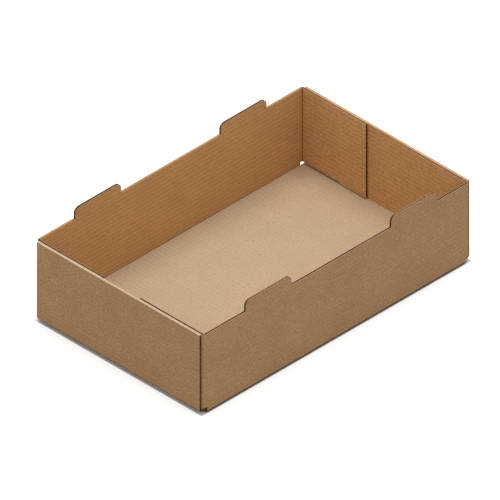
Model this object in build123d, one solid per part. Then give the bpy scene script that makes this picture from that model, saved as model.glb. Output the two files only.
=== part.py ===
"""Stacking tray of single-wall corrugated board, glued up from three folded blanks.

tray_body   one strip folded into a U: the floor and the two end walls.
front_side  the long wall at -Y with its two stacking tabs, the two corner flaps that
            are glued inside the end walls, and the flange that is glued under the floor.
rear_side   the same at +Y.

Frame: X along the tray, Y across it, Z up, origin under the middle of the tray on the
surface it stands on. Millimetres. The board is a solid sheet here: its flutes are left out.
"""
from build123d import *
import os

# overall sizes, outside to outside
LENGTH = 460.0
WIDTH = 285.0
WALL_TOP = 117.0

# the board and its folds
BOARD = 3.2
FOLD_INSIDE = 0.8
FOLD_OUTSIDE = FOLD_INSIDE + BOARD

# the flange under the floor, and where it stops short of the end walls
FLANGE_WIDTH = 90.0
CORNER_RELIEF = 9.6

# corner flaps, measured from the outside of the long wall
FLAP_LENGTH = 111.0
FLAP_STEP_AT = 66.5
FLAP_CLEARANCE_CORNER = 2.8  # above the floor, from the fold to the step
FLAP_CLEARANCE_END = 1.6  # above the floor, from the step to the free edge

# stacking tabs on the long walls
TAB_WIDTH = 78.0
TAB_HEIGHT = 15.0
TAB_SPACING = 248.0
TAB_RADIUS = 8.0
FRONT_TAB_SHIFT = 8.0
REAR_TAB_SHIFT = 0.0

# levels and planes that follow from these
FLOOR_TOP = 2 * BOARD
END_INNER = LENGTH / 2 - BOARD
SIDE_OUTER = WIDTH / 2
BODY_HALF_WIDTH = SIDE_OUTER - FOLD_OUTSIDE
FLANGE_END = LENGTH / 2 - CORNER_RELIEF
CORNER_FOLD_START = END_INNER - FOLD_OUTSIDE
TAB_TOP = WALL_TOP + TAB_HEIGHT
TRIM_MARGIN = 1.0  # how far a cutting shape reaches past what it cuts


def rectangle(x_min, y_min, x_max, y_max):
    return Pos((x_min + x_max) / 2, (y_min + y_max) / 2) * Rectangle(x_max - x_min, y_max - y_min)


def corners(sketch, y_side):
    """The corners of a sketch at its lowest (0) or highest (-1) Y."""
    return sketch.vertices().group_by(Axis.Y)[y_side]


def tray_body():
    """The floor and the two end walls: a U in the XZ plane, as long as the body is wide."""
    outside = rectangle(-LENGTH / 2, BOARD, LENGTH / 2, WALL_TOP)
    outside = fillet(corners(outside, 0), FOLD_OUTSIDE)
    inside = rectangle(-END_INNER, FLOOR_TOP, END_INNER, WALL_TOP + TRIM_MARGIN)
    inside = fillet(corners(inside, 0), FOLD_INSIDE)
    return extrude(Plane.XZ * (outside - inside), BODY_HALF_WIDTH, both=True)


def wall_and_flange():
    """Section of a side blank, in a plane whose X points into the tray from the outside of
    the long wall and whose Y is up: the wall, the bottom fold and the flange."""
    outside = rectangle(0, 0, FLANGE_WIDTH, TAB_TOP)
    outside = fillet(corners(outside, 0).sort_by(Axis.X)[0], FOLD_OUTSIDE)
    inside = rectangle(BOARD, BOARD, FLANGE_WIDTH + TRIM_MARGIN, TAB_TOP + TRIM_MARGIN)
    inside = fillet(corners(inside, 0).sort_by(Axis.X)[0], FOLD_INSIDE)
    return outside - inside


def front_side(tab_shift):
    """The side blank at -Y, folded: long wall, flange, two corner flaps and two tabs."""
    outer_plane = Plane(origin=(0, -SIDE_OUTER, 0), x_dir=(0, 1, 0), z_dir=(1, 0, 0))
    middle = extrude(outer_plane * wall_and_flange(), FLANGE_END, both=True)

    # one end of the blank: the wall up to the corner, the fold, and the flap
    wall_alone = rectangle(0, FOLD_OUTSIDE, BOARD, TAB_TOP)
    stub = extrude(outer_plane.offset(FLANGE_END) * wall_alone, CORNER_FOLD_START - FLANGE_END)
    fold_axis = Axis((CORNER_FOLD_START, -SIDE_OUTER + FOLD_OUTSIDE, 0), (0, 0, 1))
    fold = revolve(outer_plane.offset(CORNER_FOLD_START) * wall_alone, fold_axis, 90)
    flap_plane = Plane(
        origin=(END_INNER, -SIDE_OUTER + FOLD_OUTSIDE, 0), x_dir=(-1, 0, 0), z_dir=(0, 1, 0)
    )
    flap = extrude(flap_plane * wall_alone, FLAP_LENGTH - FOLD_OUTSIDE)
    end = stub + fold + flap - flap_bottom_trim()
    blank = middle + end + mirror(end, about=Plane.YZ)
    return blank - top_trim(tab_shift)


def flap_bottom_trim():
    """What is cut away under one corner flap and its fold."""
    corner_level = FLOOR_TOP + FLAP_CLEARANCE_CORNER
    end_level = FLOOR_TOP + FLAP_CLEARANCE_END
    flap_end = FLAP_LENGTH + TRIM_MARGIN
    outline = make_face(
        Polyline(
            (-TRIM_MARGIN, 0),
            (flap_end, 0),
            (flap_end, end_level),
            (FLAP_STEP_AT, end_level),
            (FLAP_STEP_AT, corner_level),
            (-TRIM_MARGIN, corner_level),
            close=True,
        )
    )
    plane = Plane(origin=(FLANGE_END, -SIDE_OUTER, 0), x_dir=(0, 1, 0), z_dir=(1, 0, 0))
    return extrude(plane * outline, CORNER_RELIEF)


def top_trim(tab_shift):
    """What is cut away above the wall, all round the tabs."""
    waste = rectangle(-LENGTH / 2, WALL_TOP, LENGTH / 2, TAB_TOP + TRIM_MARGIN)
    for side in (-1, 1):
        middle = tab_shift + side * TAB_SPACING / 2
        tab = rectangle(middle - TAB_WIDTH / 2, WALL_TOP - TRIM_MARGIN, middle + TAB_WIDTH / 2, TAB_TOP)
        waste = waste - fillet(corners(tab, -1), TAB_RADIUS)
    near = SIDE_OUTER + TRIM_MARGIN
    plane = Plane(origin=(0, -near, 0), x_dir=(1, 0, 0), z_dir=(0, -1, 0))
    return extrude(plane * waste, -(FLAP_LENGTH + 2 * TRIM_MARGIN))


def rear_side(tab_shift):
    """The side blank at +Y, the mirror of the front one but for where its tabs are."""
    return mirror(front_side(tab_shift), about=Plane.XZ)


os.makedirs("parts", exist_ok=True)
NODES = {
    "tray_body": tray_body(),
    "front_side": front_side(FRONT_TAB_SHIFT),
    "rear_side": rear_side(REAR_TAB_SHIFT),
}
for name, shape in NODES.items():
    export_step(shape, f"parts/{name}.step")
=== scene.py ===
"""Looks of the corrugated tray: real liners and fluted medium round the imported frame.

Each piece is built as the board is made: an outer liner, a corrugated medium and an
inner liner, carried round the folds. A point of a piece is (along, across, depth):
along the flutes, across them down the blank, and into the board from its outer face.
"""
import math

import bmesh
import bpy
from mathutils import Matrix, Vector


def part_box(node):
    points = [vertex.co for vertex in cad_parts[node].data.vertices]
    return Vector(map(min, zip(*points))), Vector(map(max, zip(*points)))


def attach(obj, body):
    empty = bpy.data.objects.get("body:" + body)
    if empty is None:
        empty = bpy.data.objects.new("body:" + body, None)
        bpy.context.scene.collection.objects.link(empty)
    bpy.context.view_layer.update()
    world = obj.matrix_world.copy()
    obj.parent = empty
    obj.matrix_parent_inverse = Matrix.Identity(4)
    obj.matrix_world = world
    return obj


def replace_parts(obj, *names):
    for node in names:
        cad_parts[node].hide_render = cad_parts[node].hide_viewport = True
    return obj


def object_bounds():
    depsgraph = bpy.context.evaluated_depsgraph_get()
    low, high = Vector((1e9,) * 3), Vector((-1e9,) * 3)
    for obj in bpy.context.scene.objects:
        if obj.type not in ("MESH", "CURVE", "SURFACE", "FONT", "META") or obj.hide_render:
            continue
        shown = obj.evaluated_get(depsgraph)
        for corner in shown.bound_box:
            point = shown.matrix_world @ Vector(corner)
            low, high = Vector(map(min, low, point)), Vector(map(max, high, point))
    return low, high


MM = 0.001

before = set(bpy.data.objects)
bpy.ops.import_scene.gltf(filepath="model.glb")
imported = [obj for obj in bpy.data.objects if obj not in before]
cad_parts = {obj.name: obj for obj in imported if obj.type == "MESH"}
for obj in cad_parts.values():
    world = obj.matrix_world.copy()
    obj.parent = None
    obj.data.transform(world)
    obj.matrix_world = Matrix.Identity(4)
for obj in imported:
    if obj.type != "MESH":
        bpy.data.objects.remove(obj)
CAD_LOW, CAD_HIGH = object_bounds()
BODY_LOW, BODY_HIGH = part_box("tray_body")
SIDE_LOW, SIDE_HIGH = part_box("front_side")

# sizes that the frame gives
END_OUTER = BODY_HIGH.x
BODY_EDGE = BODY_HIGH.y
WALL_TOP = BODY_HIGH.z
BOARD = BODY_LOW.z
SIDE_OUTER = CAD_HIGH.y
TAB_TOP = CAD_HIGH.z
FOLD = SIDE_OUTER - BODY_EDGE
END_INNER = SIDE_HIGH.x
FLAP_LENGTH = SIDE_HIGH.y - SIDE_LOW.y

# what the frame's boxes don't give, as the part has it
FLANGE_WIDTH = 90 * MM
CORNER_RELIEF = 9.6 * MM
FLAP_STEP_AT = 66.5 * MM
FLAP_BOTTOM_CORNER = 9.2 * MM
FLAP_BOTTOM_END = 8.0 * MM
TAB_WIDTH = 78 * MM
TAB_RADIUS = 8 * MM
TAB_SPACING = 248 * MM
TAB_SHIFT = {"front_side": 8 * MM, "rear_side": 0.0}

# the board
LINER = 0.42 * MM
MEDIUM = 0.3 * MM
PITCH = 6.3 * MM
RIPPLE = 0.12 * MM  # how far a liner sinks between the glue lines
ROWS_PER_FLUTE = 12
BODY_PHASE = 0.35 * PITCH  # where the flutes touch the outer liner, from the top of the -X wall
SIDE_PHASE = {"front_side": 0.0, "rear_side": 0.15 * PITCH}  # the same, above the wall's top
NEUTRAL = FOLD - BOARD / 2  # radius of the middle of the board at a fold
FOLD_RUN = NEUTRAL * math.pi / 2
FOLD_STEPS = 8
CORNER_SHADE_TRIM = 0.5 * MM  # the painted shade stops short of each end of the corner fold
PAINTED_SHADOW_SHARE = 0.9  # how much of the bottom fold is painted dark as a shadow, from below
SHARP_EDGE = math.radians(35)
CAP = 0.9 * MM  # crushed board that closes an edge cut along the flutes


def steps(start, stop, spacing):
    """Values from start to stop, both included, at most that far apart."""
    rounding_error = 1e-6
    count = max(1, math.ceil((stop - start) / spacing - rounding_error))
    return [start + (stop - start) * i / count for i in range(count + 1)]


def flute(across, phase):
    """1 where the medium touches the outer liner, -1 where it touches the inner one."""
    return math.cos(2 * math.pi * (across - phase) / PITCH)


class Piece:
    """A mesh under construction, made of closed sheets."""

    def __init__(self, name, point, phase, materials):
        self.name = name
        self.point = point
        self.phase = phase
        self.materials = materials
        self.vertices = []
        self.faces = []
        self.slots = []
        self.waves = []  # flute() at each vertex, which the materials read

    def sheet(self, rows, columns, near, far, slots):
        """A closed sheet between two depths. rows are across the flutes, columns(row) along
        them, and near(row) and far(row) are depths. slots are four materials: of the near and
        of the far face, each by (row, along), of the rims that run along the flutes, and of
        those at the flutes' ends."""
        near_slot, far_slot, rim_slot, ends_slot = slots
        start = len(self.vertices)
        width = len(columns(rows[0]))
        for depth in (near, far):
            for row in rows:
                for along in columns(row):
                    self.vertices.append(self.point(along, row, depth(row)))
                    self.waves.append(flute(row, self.phase))
        layer = len(rows) * width

        def at(side, i, j):
            return start + side * layer + i * width + j

        for i in range(len(rows) - 1):
            for j in range(width - 1):
                middle = sum(columns(rows[i])[j : j + 2]) / 2
                for side, slot in enumerate((near_slot, far_slot)):
                    corners = (at(side, i, j), at(side, i, j + 1), at(side, i + 1, j + 1), at(side, i + 1, j))
                    self.face(corners, slot(rows[i], middle))
            for j in (0, width - 1):
                self.face((at(0, i, j), at(1, i, j), at(1, i + 1, j), at(0, i + 1, j)), ends_slot)
        for j in range(width - 1):
            for i in (0, len(rows) - 1):
                self.face((at(0, i, j), at(1, i, j), at(1, i, j + 1), at(0, i, j + 1)), rim_slot)

    def face(self, corners, slot):
        self.faces.append(corners)
        self.slots.append(slot)

    def board(self, start, stop, columns, inside, outside):
        """Outer liner, medium and inner liner of a patch, from start to stop across."""
        rows = steps(start, stop, PITCH / ROWS_PER_FLUTE)
        swing = (BOARD - 2 * LINER - MEDIUM) / 2

        def sink(row, toward):
            """How far a liner sinks in: toward is 1 for the outer one, -1 for the inner."""
            return RIPPLE * (1 - toward * flute(row, self.phase)) / 2

        def middle(row):
            return BOARD / 2 - swing * flute(row, self.phase)

        def flutes(row, along):
            return "medium"

        self.sheet(
            rows,
            columns,
            near=lambda row: sink(row, 1),
            far=lambda row: LINER,
            slots=(outside, flutes, "edge", "cut"),
        )
        self.sheet(
            rows,
            columns,
            near=lambda row: middle(row) - MEDIUM / 2,
            far=lambda row: middle(row) + MEDIUM / 2,
            slots=(flutes, flutes, "medium", "cut"),
        )
        self.sheet(
            rows,
            columns,
            near=lambda row: BOARD - LINER,
            far=lambda row: BOARD - sink(row, -1),
            slots=(flutes, inside, "edge", "cut"),
        )

    def cap(self, start, stop, columns, slot):
        """Crushed board that closes an edge which is cut along the flutes."""

        def plain(row, along):
            return slot

        self.sheet(
            [start, stop],
            columns,
            near=lambda row: 0.0,
            far=lambda row: BOARD,
            slots=(plain, plain, slot, "cut"),
        )

    def finish(self):
        """Makes the object, which rides on the one body, and returns it."""
        mesh = bpy.data.meshes.new(self.name)
        mesh.from_pydata([tuple(v) for v in self.vertices], [], self.faces)
        names = list(self.materials)
        for name in names:
            mesh.materials.append(self.materials[name])
        for polygon, name in zip(mesh.polygons, self.slots):
            polygon.material_index = names.index(name)
        waves = mesh.attributes.new("flute", "FLOAT", "POINT")
        waves.data.foreach_set("value", self.waves)
        built = bmesh.new()
        built.from_mesh(mesh)
        bmesh.ops.recalc_face_normals(built, faces=built.faces)
        built.to_mesh(mesh)
        built.free()
        mesh.shade_smooth()
        mesh.set_sharp_from_angle(angle=SHARP_EDGE)
        obj = bpy.data.objects.new(self.name, mesh)
        bpy.context.scene.collection.objects.link(obj)
        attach(obj, "root")
        return obj


# ---- materials ----

ROUGHNESS = 0.92
SPECULAR = 0.2
TOOTH_HEIGHT = 0.12 * MM
TOOTH_STRENGTH = 0.35
FIBRE_DARKNESS = 0.45  # times the paper's colour
FIBRE_PALENESS = (1.5, 0.04)  # times the paper's colour, plus that
SPOT_STRENGTH = 1.6  # times that of the fibres, for the rare dark spots
LINE_START = -0.2  # flute() where a painted line begins
MIX_BELOW = 6  # which sockets of a Mix node hold colours
MIX_ABOVE = 7
MIX_RESULT = 2


def kraft(name, color, mottle=0.06, speck=0.3, washboard=0.0):
    """Kraft paper: soft mottling, flute lines, dark and pale fibres and a fine tooth. mottle,
    speck and washboard are how strongly the mottling, the fibres and the lines show."""
    material = bpy.data.materials.new(name)
    material.use_nodes = True
    nodes = material.node_tree.nodes
    links = material.node_tree.links
    shader = nodes["Principled BSDF"]
    shader.inputs["Roughness"].default_value = ROUGHNESS
    shader.inputs["Specular IOR Level"].default_value = SPECULAR
    place = nodes.new("ShaderNodeTexCoord")

    def noise(scale, detail, stretch=(1, 1, 1)):
        """Noise of about that many features a metre, times the stretch along each axis."""
        mapping = nodes.new("ShaderNodeMapping")
        mapping.inputs["Scale"].default_value = stretch
        links.new(place.outputs["Object"], mapping.inputs["Vector"])
        texture = nodes.new("ShaderNodeTexNoise")
        texture.inputs["Scale"].default_value = scale
        texture.inputs["Detail"].default_value = detail
        links.new(mapping.outputs["Vector"], texture.inputs["Vector"])
        return texture.outputs["Fac"]

    def ramp(value, low, high):
        """0 up to low, 1 from high, straight between them."""
        node = nodes.new("ShaderNodeMapRange")
        node.inputs["From Min"].default_value = low
        node.inputs["From Max"].default_value = high
        links.new(value, node.inputs["Value"])
        return node.outputs["Result"]

    def blend(below, above, factor, amount):
        """The colour above over the one below, as far as factor times amount says."""
        scale = nodes.new("ShaderNodeMath")
        scale.operation = "MULTIPLY"
        scale.inputs[1].default_value = amount
        links.new(factor, scale.inputs[0])
        node = nodes.new("ShaderNodeMix")
        node.data_type = "RGBA"
        links.new(scale.outputs[0], node.inputs["Factor"])
        for value, socket in ((below, node.inputs[MIX_BELOW]), (above, node.inputs[MIX_ABOVE])):
            if isinstance(value, tuple):
                socket.default_value = (*value, 1)
            else:
                links.new(value, socket)
        return node.outputs[MIX_RESULT]

    gain, lift = FIBRE_PALENESS
    dark = tuple(c * FIBRE_DARKNESS for c in color)
    pale = tuple(min(1.0, c * gain + lift) for c in color)
    shade = tuple(c * (1 - 2 * mottle) for c in color)
    clouds = ramp(noise(22, 5), 0.35, 0.65)
    streaks = ramp(noise(260, 4, (1, 1, 2.5)), 0.42, 0.62)
    pale_fibres = ramp(noise(480, 3, (2.5, 1, 1)), 0.5, 0.68)
    dark_fibres = ramp(noise(520, 3, (1, 1, 2.5)), 0.54, 0.7)
    spots = ramp(noise(330, 2, (1.5, 1, 2)), 0.66, 0.72)
    base = blend(color, shade, clouds, 1.0)
    base = blend(base, shade, streaks, 1.0)
    if washboard:
        lines = nodes.new("ShaderNodeAttribute")
        lines.attribute_name = "flute"
        base = blend(base, dark, ramp(lines.outputs["Fac"], LINE_START, 1.0), washboard)
    base = blend(base, pale, pale_fibres, speck)
    base = blend(base, dark, dark_fibres, speck)
    base = blend(base, dark, spots, SPOT_STRENGTH * speck)
    links.new(base, shader.inputs["Base Color"])
    bump = nodes.new("ShaderNodeBump")
    bump.inputs["Strength"].default_value = TOOTH_STRENGTH
    bump.inputs["Distance"].default_value = TOOTH_HEIGHT
    links.new(noise(1300, 4), bump.inputs["Height"])
    links.new(bump.outputs["Normal"], shader.inputs["Normal"])
    return material


MATERIALS = {
    "outside": kraft("kraft_outside", (0.57, 0.33, 0.155), mottle=0.08, speck=0.5, washboard=0.12),
    "inside": kraft("kraft_inside", (0.64, 0.36, 0.152), speck=0.4, washboard=0.26),
    # painted light: the floor is the same inner liner as the end walls, coloured paler for the light that
    # falls on it
    "floor": kraft("kraft_painted_lit_floor", (0.55, 0.405, 0.258), mottle=0.04, speck=0.25, washboard=0.05),
    "medium": kraft("kraft_medium", (0.24, 0.12, 0.055), speck=0.2),
    "edge": kraft("kraft_cut_edge", (0.60, 0.44, 0.29), mottle=0.08, speck=0.4),
    "cut": kraft("kraft_flute_ends", (0.36, 0.2, 0.1), mottle=0.08, speck=0.4),
    # painted shade: a dark colour on the inner liner round the corner folds, for the shade in the inside
    # corners
    "crease": kraft("kraft_painted_corner_shade", (0.17, 0.08, 0.035), mottle=0.08, speck=0.3),
    # painted shadow: a dark colour on the bottom fold of the long walls, for the shadow line at their foot
    "foot": kraft("kraft_painted_foot_shadow", (0.10, 0.06, 0.035), mottle=0.1, speck=0.4),
}


# ---- tray_body: a U in X and Z, its flutes along Y ----

WALL_RUN = WALL_TOP - BOARD - FOLD
FLOOR_RUN = 2 * (END_OUTER - FOLD)
FLOOR_START = WALL_RUN + FOLD_RUN
BODY_RUN = 2 * FLOOR_START + FLOOR_RUN


def body_point(along, across, depth):
    """From the top of the -X end wall, down it, across the floor and up the other one."""
    middle = BODY_RUN / 2
    side = -1 if across < middle else 1
    run = across if side < 0 else BODY_RUN - across
    if run <= WALL_RUN:
        return Vector((side * (END_OUTER - depth), along, WALL_TOP - run))
    if run < FLOOR_START:
        angle = (run - WALL_RUN) / NEUTRAL
        reach = FOLD - depth
        x = END_OUTER - FOLD + reach * math.cos(angle)
        return Vector((side * x, along, BOARD + FOLD - reach * math.sin(angle)))
    return Vector((side * (END_OUTER - FOLD - (run - FLOOR_START)), along, BOARD + depth))


def body_columns(row):
    return steps(-BODY_EDGE, BODY_EDGE, BODY_EDGE / 2)


def body_inside(row, along):
    """The floor part of the inner liner is painted paler and less saturated than its walls, painted light for
    the light on the floor; this colour runs to the middle of each fold.
    """
    on_floor = FLOOR_START - FOLD_RUN / 2 < row < BODY_RUN - FLOOR_START + FOLD_RUN / 2
    return "floor" if on_floor else "inside"


def body_outside(row, along):
    return "outside"


def build_body():
    piece = Piece("board_tray_body", body_point, BODY_PHASE, MATERIALS)
    piece.board(CAP, BODY_RUN - CAP, body_columns, body_inside, body_outside)
    # painted highlight: the near end wall's top is coloured pale like a cut edge, while the far end wall's
    # top has the outer liner's colour
    piece.cap(0, CAP, body_columns, "edge")
    piece.cap(BODY_RUN - CAP, BODY_RUN, body_columns, "outside")
    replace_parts(piece.finish(), "tray_body")


# ---- the side pieces: an L in Y and Z, its flutes along X and round into the flaps ----

FLANGE_RUN = FLANGE_WIDTH - FOLD
WALL_START = FLANGE_RUN + FOLD_RUN
CORNER_START = END_INNER - FOLD
CORNER_END = CORNER_START + FOLD_RUN
FLAP_END = CORNER_END + FLAP_LENGTH - FOLD
FLANGE_END = END_OUTER - CORNER_RELIEF


def at_level(z):
    """How far across the blank a level of the long wall is."""
    return WALL_START + z - FOLD


def side_point(y_side):
    """The point of a side piece at -Y (-1) or +Y (1)."""

    def point(along, across, depth):
        if across <= FLANGE_RUN:
            offset, z = FLANGE_WIDTH - across, depth
        elif across < WALL_START:
            angle = (across - FLANGE_RUN) / NEUTRAL
            reach = FOLD - depth
            offset, z = FOLD - reach * math.sin(angle), FOLD - reach * math.cos(angle)
        else:
            offset, z = depth, FOLD + across - WALL_START
        x_side = -1 if along < 0 else 1
        run = abs(along)
        if run <= CORNER_START:
            x = run
        elif run < CORNER_END:
            angle = (run - CORNER_START) / NEUTRAL
            reach = FOLD - depth
            x, offset = CORNER_START + reach * math.sin(angle), FOLD - reach * math.cos(angle)
        else:
            x, offset = END_INNER - depth, FOLD + run - CORNER_END
        return Vector((x_side * x, y_side * (SIDE_OUTER - offset), z))

    return point


def whole_columns(row):
    """Along the whole blank, close together round the two corner folds."""
    fold = steps(CORNER_START, CORNER_END, FOLD_RUN / FOLD_STEPS)
    half = [*fold, FLAP_END]
    return [*(-x for x in reversed(half)), 0.0, *half]


def flange_columns(row):
    return steps(-FLANGE_END, FLANGE_END, FLANGE_END / 2)


def tab_columns(middle):
    """Across a tab, narrower where its upper corners are rounded."""

    def columns(row):
        above = min(max(0.0, row - at_level(TAB_TOP - TAB_RADIUS)), TAB_RADIUS)
        rounding = TAB_RADIUS - math.sqrt(TAB_RADIUS**2 - above**2)
        half = TAB_WIDTH / 2 - rounding
        return [middle - half, middle, middle + half]

    return columns


def step_columns(x_side):
    """The end of a corner flap, which hangs lower than the rest."""
    start = CORNER_END + FLAP_STEP_AT - FOLD
    ends = (x_side * start, x_side * FLAP_END)
    return lambda row: [min(ends), max(ends)]


def side_inside(row, along):
    """The inner liner is painted dark where it turns the corner: painted shade in the inside corner."""
    in_painted_shade = CORNER_START + CORNER_SHADE_TRIM < abs(along) < CORNER_END - CORNER_SHADE_TRIM
    return "crease" if in_painted_shade else "inside"


def side_outside(row, along):
    """The bottom fold is coloured dark, in place of the shadow line at the wall's foot."""
    in_painted_shadow = FLANGE_RUN <= row < FLANGE_RUN + PAINTED_SHADOW_SHARE * FOLD_RUN
    return "foot" if in_painted_shadow else "outside"


def wall_columns(start, stop):
    return lambda row: [start, stop]


def build_side(node, y_side, closed_top):
    """A side piece. closed_top crushes the board shut along the wall's top, beside the tabs."""
    phase = at_level(WALL_TOP) + SIDE_PHASE[node]
    piece = Piece(f"board_{node}", side_point(y_side), phase, MATERIALS)
    liners = (side_inside, side_outside)
    piece.board(0, at_level(FLAP_BOTTOM_CORNER), flange_columns, *liners)
    piece.board(at_level(FLAP_BOTTOM_CORNER), at_level(WALL_TOP), whole_columns, *liners)
    ends = [-CORNER_START]
    for x_side in (-1, 1):
        piece.board(at_level(FLAP_BOTTOM_END), at_level(FLAP_BOTTOM_CORNER), step_columns(x_side), *liners)
        middle = TAB_SHIFT[node] + x_side * TAB_SPACING / 2
        piece.board(at_level(WALL_TOP), at_level(TAB_TOP), tab_columns(middle), *liners)
        ends += [middle - TAB_WIDTH / 2, middle + TAB_WIDTH / 2]
    ends.append(CORNER_START)
    if closed_top:
        for start, stop in zip(ends[::2], ends[1::2]):
            piece.cap(at_level(WALL_TOP - CAP), at_level(WALL_TOP), wall_columns(start, stop), "inside")
    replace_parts(piece.finish(), node)


# ---- stage, light and camera ----

STAGE_REACH = 20.0
STAGE_DROP = 0.02 * MM  # below the tray, so that the two faces don't coincide
STAGE_GREY_UNSEEN = 0.45  # what the stage throws back on the tray
STAGE_GREY_ADDED = 0.41  # more of it, for the camera alone
STAGE_WHITE_ADDED = 0.45  # light that the camera alone sees on it
WORLD_STRENGTH = 0.68
LAMP_PLACE = (0.2, 0.2, 2.2)
LAMP_WIDTH = 1.6
LAMP_POWER = 29


def white_floor():
    """A white floor that keeps the tray's shadow."""
    mesh = bpy.data.meshes.new("studio_floor")
    corners = [(x * STAGE_REACH, y * STAGE_REACH, 0) for x, y in ((-1, -1), (1, -1), (1, 1), (-1, 1))]
    mesh.from_pydata(corners, [], [(0, 1, 2, 3)])
    floor = bpy.data.objects.new("studio_floor", mesh)
    bpy.context.scene.collection.objects.link(floor)
    floor.location.z = -STAGE_DROP
    material = bpy.data.materials.new("studio_white")
    material.use_nodes = True
    nodes = material.node_tree.nodes
    links = material.node_tree.links
    shader = nodes["Principled BSDF"]
    shader.inputs["Roughness"].default_value = 1.0
    shader.inputs["Specular IOR Level"].default_value = 0.0
    shader.inputs["Emission Color"].default_value = (1, 1, 1, 1)

    def math_node(operation, *values):
        node = nodes.new("ShaderNodeMath")
        node.operation = operation
        for socket, value in zip(node.inputs, values):
            if isinstance(value, float):
                socket.default_value = value
            else:
                links.new(value, socket)
        return node.outputs[0]

    # the added white stops at the outline of what the tray covers
    place = nodes.new("ShaderNodeTexCoord")
    split = nodes.new("ShaderNodeSeparateXYZ")
    links.new(place.outputs["Object"], split.inputs[0])
    past_x = math_node("GREATER_THAN", math_node("ABSOLUTE", split.outputs["X"]), END_OUTER)
    past_y = math_node("GREATER_THAN", math_node("ABSOLUTE", split.outputs["Y"]), SIDE_OUTER)
    uncovered = math_node("MAXIMUM", past_x, past_y)
    seen = nodes.new("ShaderNodeLightPath").outputs["Is Camera Ray"]
    added = math_node("MULTIPLY", seen, STAGE_WHITE_ADDED)
    links.new(math_node("MULTIPLY", uncovered, added), shader.inputs["Emission Strength"])
    grey = math_node("MULTIPLY_ADD", seen, STAGE_GREY_ADDED, STAGE_GREY_UNSEEN)
    links.new(grey, shader.inputs["Base Color"])
    mesh.materials.append(material)


def world_light():
    """Soft light from all round, which the camera sees as white."""
    world = bpy.data.worlds.new("studio_world")
    bpy.context.scene.world = world
    world.use_nodes = True
    nodes = world.node_tree.nodes
    links = world.node_tree.links
    path = nodes.new("ShaderNodeLightPath")
    level = nodes.new("ShaderNodeMapRange")
    level.inputs["To Min"].default_value = WORLD_STRENGTH
    level.inputs["To Max"].default_value = 1.0
    links.new(path.outputs["Is Camera Ray"], level.inputs["Value"])
    nodes["Background"].inputs["Color"].default_value = (1, 1, 1, 1)
    links.new(level.outputs["Result"], nodes["Background"].inputs["Strength"])


def softbox():
    """A broad lamp overhead, aimed at the tray."""
    lamp = bpy.data.lights.new("top_light", "AREA")
    lamp.shape = "DISK"
    lamp.size = LAMP_WIDTH
    lamp.energy = LAMP_POWER
    obj = bpy.data.objects.new("top_light", lamp)
    obj.location = LAMP_PLACE
    obj.rotation_mode = "QUATERNION"
    obj.rotation_quaternion = (-Vector(LAMP_PLACE)).to_track_quat("-Z", "Y")
    bpy.context.scene.collection.objects.link(obj)


VIEW_AZIMUTH = -45.06
VIEW_ELEVATION = 35.19
VIEW_WIDTH = 0.602
VIEW_LEFT = 3.6 * MM  # how far left of the origin the view's centre is, and how far up
VIEW_UP = 48.6 * MM
VIEW_DISTANCE = 3.0
VIEW_CLIP = 100


def camera():
    """A parallel view from over the corner of the -X and -Y walls."""
    data = bpy.data.cameras.new("camera")
    data.type = "ORTHO"
    data.ortho_scale = VIEW_WIDTH
    data.clip_end = VIEW_CLIP
    obj = bpy.data.objects.new("camera", data)
    bpy.context.scene.collection.objects.link(obj)
    a, e = math.radians(VIEW_AZIMUTH), math.radians(VIEW_ELEVATION)
    back = Vector((math.sin(a) * math.cos(e), -math.cos(a) * math.cos(e), math.sin(e)))
    turn = (-back).to_track_quat("-Z", "Y")
    right = turn @ Vector((1, 0, 0))
    up = turn @ Vector((0, 1, 0))
    obj.rotation_mode = "QUATERNION"
    obj.rotation_quaternion = turn
    obj.location = back * VIEW_DISTANCE - right * VIEW_LEFT + up * VIEW_UP
    bpy.context.scene.camera = obj


build_body()
build_side("front_side", -1, closed_top=False)
build_side("rear_side", 1, closed_top=True)
white_floor()
world_light()
softbox()
camera()
bpy.context.scene.view_settings.view_transform = "Standard"
